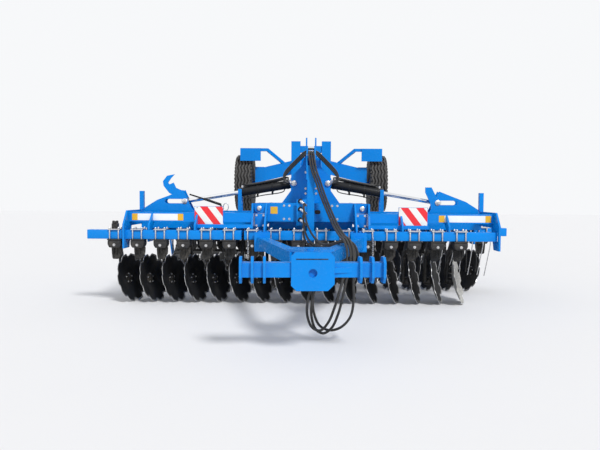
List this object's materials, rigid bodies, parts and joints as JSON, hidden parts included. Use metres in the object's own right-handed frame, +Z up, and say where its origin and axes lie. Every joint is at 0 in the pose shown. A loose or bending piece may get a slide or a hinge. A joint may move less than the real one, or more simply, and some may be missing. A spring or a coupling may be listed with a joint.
{
  "type": "folding disc harrow",
  "caption": "Towed folding disc harrow: notched discs in offset rows under a hinged frame, cage rollers behind, a swing-down transport axle and a swivelling lower-link crossbar.",
  "frame": {"origin": "middle of the machine's box, on the ground", "axes": "+Z up, +Y to the rear wheels, +X to the right seen from the front"},
  "size_m": [4.86, 6.9216, 2.07],
  "materials": {
    "frame_blue": "glossy enamel",
    "disc_steel": "black, worn bright at the edge",
    "roller_black": "satin",
    "tyre": "moulded",
    "cylinder_black": "satin",
    "chrome_rod": "polished",
    "hose_rubber": "braided rubber",
    "coupler_zinc": "zinc plated"
  },
  "bodies": {
    "frame": {"centre_frame": "frame_blue", "tower": "frame_blue", "drawbar": "frame_blue", "centre_front_disc_beam": "frame_blue", "centre_rear_disc_beam": "frame_blue", "hose_holder": "coupler_zinc", "hose_1": "hose_rubber", "hose_2": "hose_rubber", "hose_3": "hose_rubber"},
    "hitch": {"hitch_crossbar": "frame_blue"},
    "wing_left": {"left_wing_frame": "frame_blue", "left_front_disc_beam": "frame_blue", "left_rear_disc_beam": "frame_blue"},
    "wing_right": {"right_wing_frame": "frame_blue", "right_front_disc_beam": "frame_blue", "right_rear_disc_beam": "frame_blue"},
    "fold_barrel_left": {"left_fold_barrel": "cylinder_black"},
    "fold_rod_left": {"left_fold_rod": "chrome_rod"},
    "fold_barrel_right": {"right_fold_barrel": "cylinder_black"},
    "fold_rod_right": {"right_fold_rod": "chrome_rod"},
    "transport_axle": {"transport_axle": "frame_blue"},
    "lift_barrel": {"lift_barrel": "cylinder_black"},
    "lift_rod": {"lift_rod": "chrome_rod"},
    "wheel_left": {"left_wheel": "tyre"},
    "wheel_right": {"right_wheel": "tyre"},
    "roller_left": {"left_roller": "roller_black"},
    "roller_centre": {"centre_roller": "roller_black"},
    "roller_right": {"right_roller": "roller_black"},
    "disc_front_01": {"disc_front_01": "disc_steel"},
    "disc_front_02": {"disc_front_02": "disc_steel"},
    "disc_front_03": {"disc_front_03": "disc_steel"},
    "disc_front_04": {"disc_front_04": "disc_steel"},
    "disc_front_05": {"disc_front_05": "disc_steel"},
    "disc_front_06": {"disc_front_06": "disc_steel"},
    "disc_front_07": {"disc_front_07": "disc_steel"},
    "disc_front_08": {"disc_front_08": "disc_steel"},
    "disc_front_09": {"disc_front_09": "disc_steel"},
    "disc_front_10": {"disc_front_10": "disc_steel"},
    "disc_front_11": {"disc_front_11": "disc_steel"},
    "disc_front_12": {"disc_front_12": "disc_steel"},
    "disc_front_13": {"disc_front_13": "disc_steel"},
    "disc_front_14": {"disc_front_14": "disc_steel"},
    "disc_front_15": {"disc_front_15": "disc_steel"},
    "disc_front_16": {"disc_front_16": "disc_steel"},
    "disc_rear_01": {"disc_rear_01": "disc_steel"},
    "disc_rear_02": {"disc_rear_02": "disc_steel"},
    "disc_rear_03": {"disc_rear_03": "disc_steel"},
    "disc_rear_04": {"disc_rear_04": "disc_steel"},
    "disc_rear_05": {"disc_rear_05": "disc_steel"},
    "disc_rear_06": {"disc_rear_06": "disc_steel"},
    "disc_rear_07": {"disc_rear_07": "disc_steel"},
    "disc_rear_08": {"disc_rear_08": "disc_steel"},
    "disc_rear_09": {"disc_rear_09": "disc_steel"},
    "disc_rear_10": {"disc_rear_10": "disc_steel"},
    "disc_rear_11": {"disc_rear_11": "disc_steel"},
    "disc_rear_12": {"disc_rear_12": "disc_steel"},
    "disc_rear_13": {"disc_rear_13": "disc_steel"},
    "disc_rear_14": {"disc_rear_14": "disc_steel"},
    "disc_rear_15": {"disc_rear_15": "disc_steel"},
    "disc_rear_16": {"disc_rear_16": "disc_steel"}
  },
  "joints": [
    {"name": "axle_lift", "type": "hinge", "parent": "frame", "child": "transport_axle", "pos_m": [0, 1.18079, 1], "axis": [-1, 0, 0], "range_deg": [0, 38]},
    {"name": "fold_left", "type": "hinge", "parent": "frame", "child": "wing_left", "pos_m": [-0.575, -0.53921, 1.08], "axis": [0, 1, 0], "range_deg": [0, 90]},
    {"name": "fold_right", "type": "hinge", "parent": "frame", "child": "wing_right", "pos_m": [0.575, -0.53921, 1.08], "axis": [0, -1, 0], "range_deg": [0, 90]},
    {"name": "hitch_swing", "type": "hinge", "parent": "frame", "child": "hitch", "pos_m": [0, -3.11921, 0.72], "axis": [0, 0, 1], "range_deg": [-44, 36]},
    {"name": "fold_barrel_turn_left", "type": "hinge", "parent": "frame", "child": "fold_barrel_left", "pos_m": [-0.2, -0.53921, 1.37], "axis": [0, 1, 0], "range_deg": [0, 72]},
    {"name": "fold_rod_slide_left", "type": "slide", "parent": "fold_barrel_left", "child": "fold_rod_left", "axis": [-0.986, 0, -0.1669], "range_m": [-0.59, 0]},
    {"name": "fold_barrel_turn_right", "type": "hinge", "parent": "frame", "child": "fold_barrel_right", "pos_m": [0.2, -0.53921, 1.37], "axis": [0, -1, 0], "range_deg": [0, 72]},
    {"name": "fold_rod_slide_right", "type": "slide", "parent": "fold_barrel_right", "child": "fold_rod_right", "axis": [0.986, 0, -0.1669], "range_m": [-0.59, 0]},
    {"name": "lift_barrel_turn", "type": "hinge", "parent": "frame", "child": "lift_barrel", "pos_m": [0, 0.43079, 1.25], "axis": [-1, 0, 0], "range_deg": [0, 24]},
    {"name": "lift_rod_slide", "type": "slide", "parent": "lift_barrel", "child": "lift_rod", "axis": [0, 0.8638, 0.5039], "range_m": [0, 0.34]},
    {"name": "spin_wheel_left", "type": "hinge", "parent": "transport_axle", "child": "wheel_left", "pos_m": [-1.162, 2.96079, 1.45], "axis": [1, 0, 0], "continuous": true},
    {"name": "spin_wheel_right", "type": "hinge", "parent": "transport_axle", "child": "wheel_right", "pos_m": [1.162, 2.96079, 1.45], "axis": [1, 0, 0], "continuous": true},
    {"name": "spin_roller_left", "type": "hinge", "parent": "wing_left", "child": "roller_left", "pos_m": [-1.332, 1.08079, 0.25272], "axis": [1, 0, 0], "continuous": true},
    {"name": "spin_roller_centre", "type": "hinge", "parent": "frame", "child": "roller_centre", "pos_m": [0, 1.08079, 0.25272], "axis": [1, 0, 0], "continuous": true},
    {"name": "spin_roller_right", "type": "hinge", "parent": "wing_right", "child": "roller_right", "pos_m": [1.332, 1.08079, 0.25272], "axis": [1, 0, 0], "continuous": true},
    {"name": "spin_disc_front_01", "type": "hinge", "parent": "wing_left", "child": "disc_front_01", "pos_m": [-2.05, -0.86921, 0.27226], "axis": [0.9303, -0.3023, 0.2079], "continuous": true},
    {"name": "spin_disc_front_02", "type": "hinge", "parent": "wing_left", "child": "disc_front_02", "pos_m": [-1.8, -0.86921, 0.27226], "axis": [0.9303, -0.3023, 0.2079], "continuous": true},
    {"name": "spin_disc_front_03", "type": "hinge", "parent": "wing_left", "child": "disc_front_03", "pos_m": [-1.55, -0.86921, 0.27226], "axis": [0.9303, -0.3023, 0.2079], "continuous": true},
    {"name": "spin_disc_front_04", "type": "hinge", "parent": "wing_left", "child": "disc_front_04", "pos_m": [-1.3, -0.86921, 0.27226], "axis": [0.9303, -0.3023, 0.2079], "continuous": true},
    {"name": "spin_disc_front_05", "type": "hinge", "parent": "wing_left", "child": "disc_front_05", "pos_m": [-1.05, -0.86921, 0.27226], "axis": [0.9303, -0.3023, 0.2079], "continuous": true},
    {"name": "spin_disc_front_06", "type": "hinge", "parent": "wing_left", "child": "disc_front_06", "pos_m": [-0.8, -0.86921, 0.27226], "axis": [0.9303, -0.3023, 0.2079], "continuous": true},
    {"name": "spin_disc_front_07", "type": "hinge", "parent": "frame", "child": "disc_front_07", "pos_m": [-0.55, -0.86921, 0.27226], "axis": [0.9303, -0.3023, 0.2079], "continuous": true},
    {"name": "spin_disc_front_08", "type": "hinge", "parent": "frame", "child": "disc_front_08", "pos_m": [-0.3, -0.86921, 0.27226], "axis": [0.9303, -0.3023, 0.2079], "continuous": true},
    {"name": "spin_disc_front_09", "type": "hinge", "parent": "frame", "child": "disc_front_09", "pos_m": [-0.05, -0.86921, 0.27226], "axis": [0.9303, -0.3023, 0.2079], "continuous": true},
    {"name": "spin_disc_front_10", "type": "hinge", "parent": "frame", "child": "disc_front_10", "pos_m": [0.2, -0.86921, 0.27226], "axis": [0.9303, -0.3023, 0.2079], "continuous": true},
    {"name": "spin_disc_front_11", "type": "hinge", "parent": "frame", "child": "disc_front_11", "pos_m": [0.45, -0.86921, 0.27226], "axis": [0.9303, -0.3023, 0.2079], "continuous": true},
    {"name": "spin_disc_front_12", "type": "hinge", "parent": "wing_right", "child": "disc_front_12", "pos_m": [0.7, -0.86921, 0.27226], "axis": [0.9303, -0.3023, 0.2079], "continuous": true},
    {"name": "spin_disc_front_13", "type": "hinge", "parent": "wing_right", "child": "disc_front_13", "pos_m": [0.95, -0.86921, 0.27226], "axis": [0.9303, -0.3023, 0.2079], "continuous": true},
    {"name": "spin_disc_front_14", "type": "hinge", "parent": "wing_right", "child": "disc_front_14", "pos_m": [1.2, -0.86921, 0.27226], "axis": [0.9303, -0.3023, 0.2079], "continuous": true},
    {"name": "spin_disc_front_15", "type": "hinge", "parent": "wing_right", "child": "disc_front_15", "pos_m": [1.45, -0.86921, 0.27226], "axis": [0.9303, -0.3023, 0.2079], "continuous": true},
    {"name": "spin_disc_front_16", "type": "hinge", "parent": "wing_right", "child": "disc_front_16", "pos_m": [1.7, -0.86921, 0.27226], "axis": [0.9303, -0.3023, 0.2079], "continuous": true},
    {"name": "spin_disc_rear_01", "type": "hinge", "parent": "wing_right", "child": "disc_rear_01", "pos_m": [2.05, 0.12079, 0.27226], "axis": [-0.9303, -0.3023, 0.2079], "continuous": true},
    {"name": "spin_disc_rear_02", "type": "hinge", "parent": "wing_right", "child": "disc_rear_02", "pos_m": [1.8, 0.12079, 0.27226], "axis": [-0.9303, -0.3023, 0.2079], "continuous": true},
    {"name": "spin_disc_rear_03", "type": "hinge", "parent": "wing_right", "child": "disc_rear_03", "pos_m": [1.55, 0.12079, 0.27226], "axis": [-0.9303, -0.3023, 0.2079], "continuous": true},
    {"name": "spin_disc_rear_04", "type": "hinge", "parent": "wing_right", "child": "disc_rear_04", "pos_m": [1.3, 0.12079, 0.27226], "axis": [-0.9303, -0.3023, 0.2079], "continuous": true},
    {"name": "spin_disc_rear_05", "type": "hinge", "parent": "wing_right", "child": "disc_rear_05", "pos_m": [1.05, 0.12079, 0.27226], "axis": [-0.9303, -0.3023, 0.2079], "continuous": true},
    {"name": "spin_disc_rear_06", "type": "hinge", "parent": "wing_right", "child": "disc_rear_06", "pos_m": [0.8, 0.12079, 0.27226], "axis": [-0.9303, -0.3023, 0.2079], "continuous": true},
    {"name": "spin_disc_rear_07", "type": "hinge", "parent": "frame", "child": "disc_rear_07", "pos_m": [0.55, 0.12079, 0.27226], "axis": [-0.9303, -0.3023, 0.2079], "continuous": true},
    {"name": "spin_disc_rear_08", "type": "hinge", "parent": "frame", "child": "disc_rear_08", "pos_m": [0.3, 0.12079, 0.27226], "axis": [-0.9303, -0.3023, 0.2079], "continuous": true},
    {"name": "spin_disc_rear_09", "type": "hinge", "parent": "frame", "child": "disc_rear_09", "pos_m": [0.05, 0.12079, 0.27226], "axis": [-0.9303, -0.3023, 0.2079], "continuous": true},
    {"name": "spin_disc_rear_10", "type": "hinge", "parent": "frame", "child": "disc_rear_10", "pos_m": [-0.2, 0.12079, 0.27226], "axis": [-0.9303, -0.3023, 0.2079], "continuous": true},
    {"name": "spin_disc_rear_11", "type": "hinge", "parent": "frame", "child": "disc_rear_11", "pos_m": [-0.45, 0.12079, 0.27226], "axis": [-0.9303, -0.3023, 0.2079], "continuous": true},
    {"name": "spin_disc_rear_12", "type": "hinge", "parent": "wing_left", "child": "disc_rear_12", "pos_m": [-0.7, 0.12079, 0.27226], "axis": [-0.9303, -0.3023, 0.2079], "continuous": true},
    {"name": "spin_disc_rear_13", "type": "hinge", "parent": "wing_left", "child": "disc_rear_13", "pos_m": [-0.95, 0.12079, 0.27226], "axis": [-0.9303, -0.3023, 0.2079], "continuous": true},
    {"name": "spin_disc_rear_14", "type": "hinge", "parent": "wing_left", "child": "disc_rear_14", "pos_m": [-1.2, 0.12079, 0.27226], "axis": [-0.9303, -0.3023, 0.2079], "continuous": true},
    {"name": "spin_disc_rear_15", "type": "hinge", "parent": "wing_left", "child": "disc_rear_15", "pos_m": [-1.45, 0.12079, 0.27226], "axis": [-0.9303, -0.3023, 0.2079], "continuous": true},
    {"name": "spin_disc_rear_16", "type": "hinge", "parent": "wing_left", "child": "disc_rear_16", "pos_m": [-1.7, 0.12079, 0.27226], "axis": [-0.9303, -0.3023, 0.2079], "continuous": true}
  ],
  "couplings": [
    {"joint": "fold_barrel_turn_left", "follows": "fold_left", "ratio": 0.776},
    {"joint": "fold_rod_slide_left", "follows": "fold_left", "m_per_rad": -0.371},
    {"joint": "fold_barrel_turn_right", "follows": "fold_right", "ratio": 0.776},
    {"joint": "fold_rod_slide_right", "follows": "fold_right", "m_per_rad": -0.371},
    {"joint": "lift_barrel_turn", "follows": "axle_lift", "ratio": 0.602},
    {"joint": "lift_rod_slide", "follows": "axle_lift", "m_per_rad": 0.496}
  ]
}
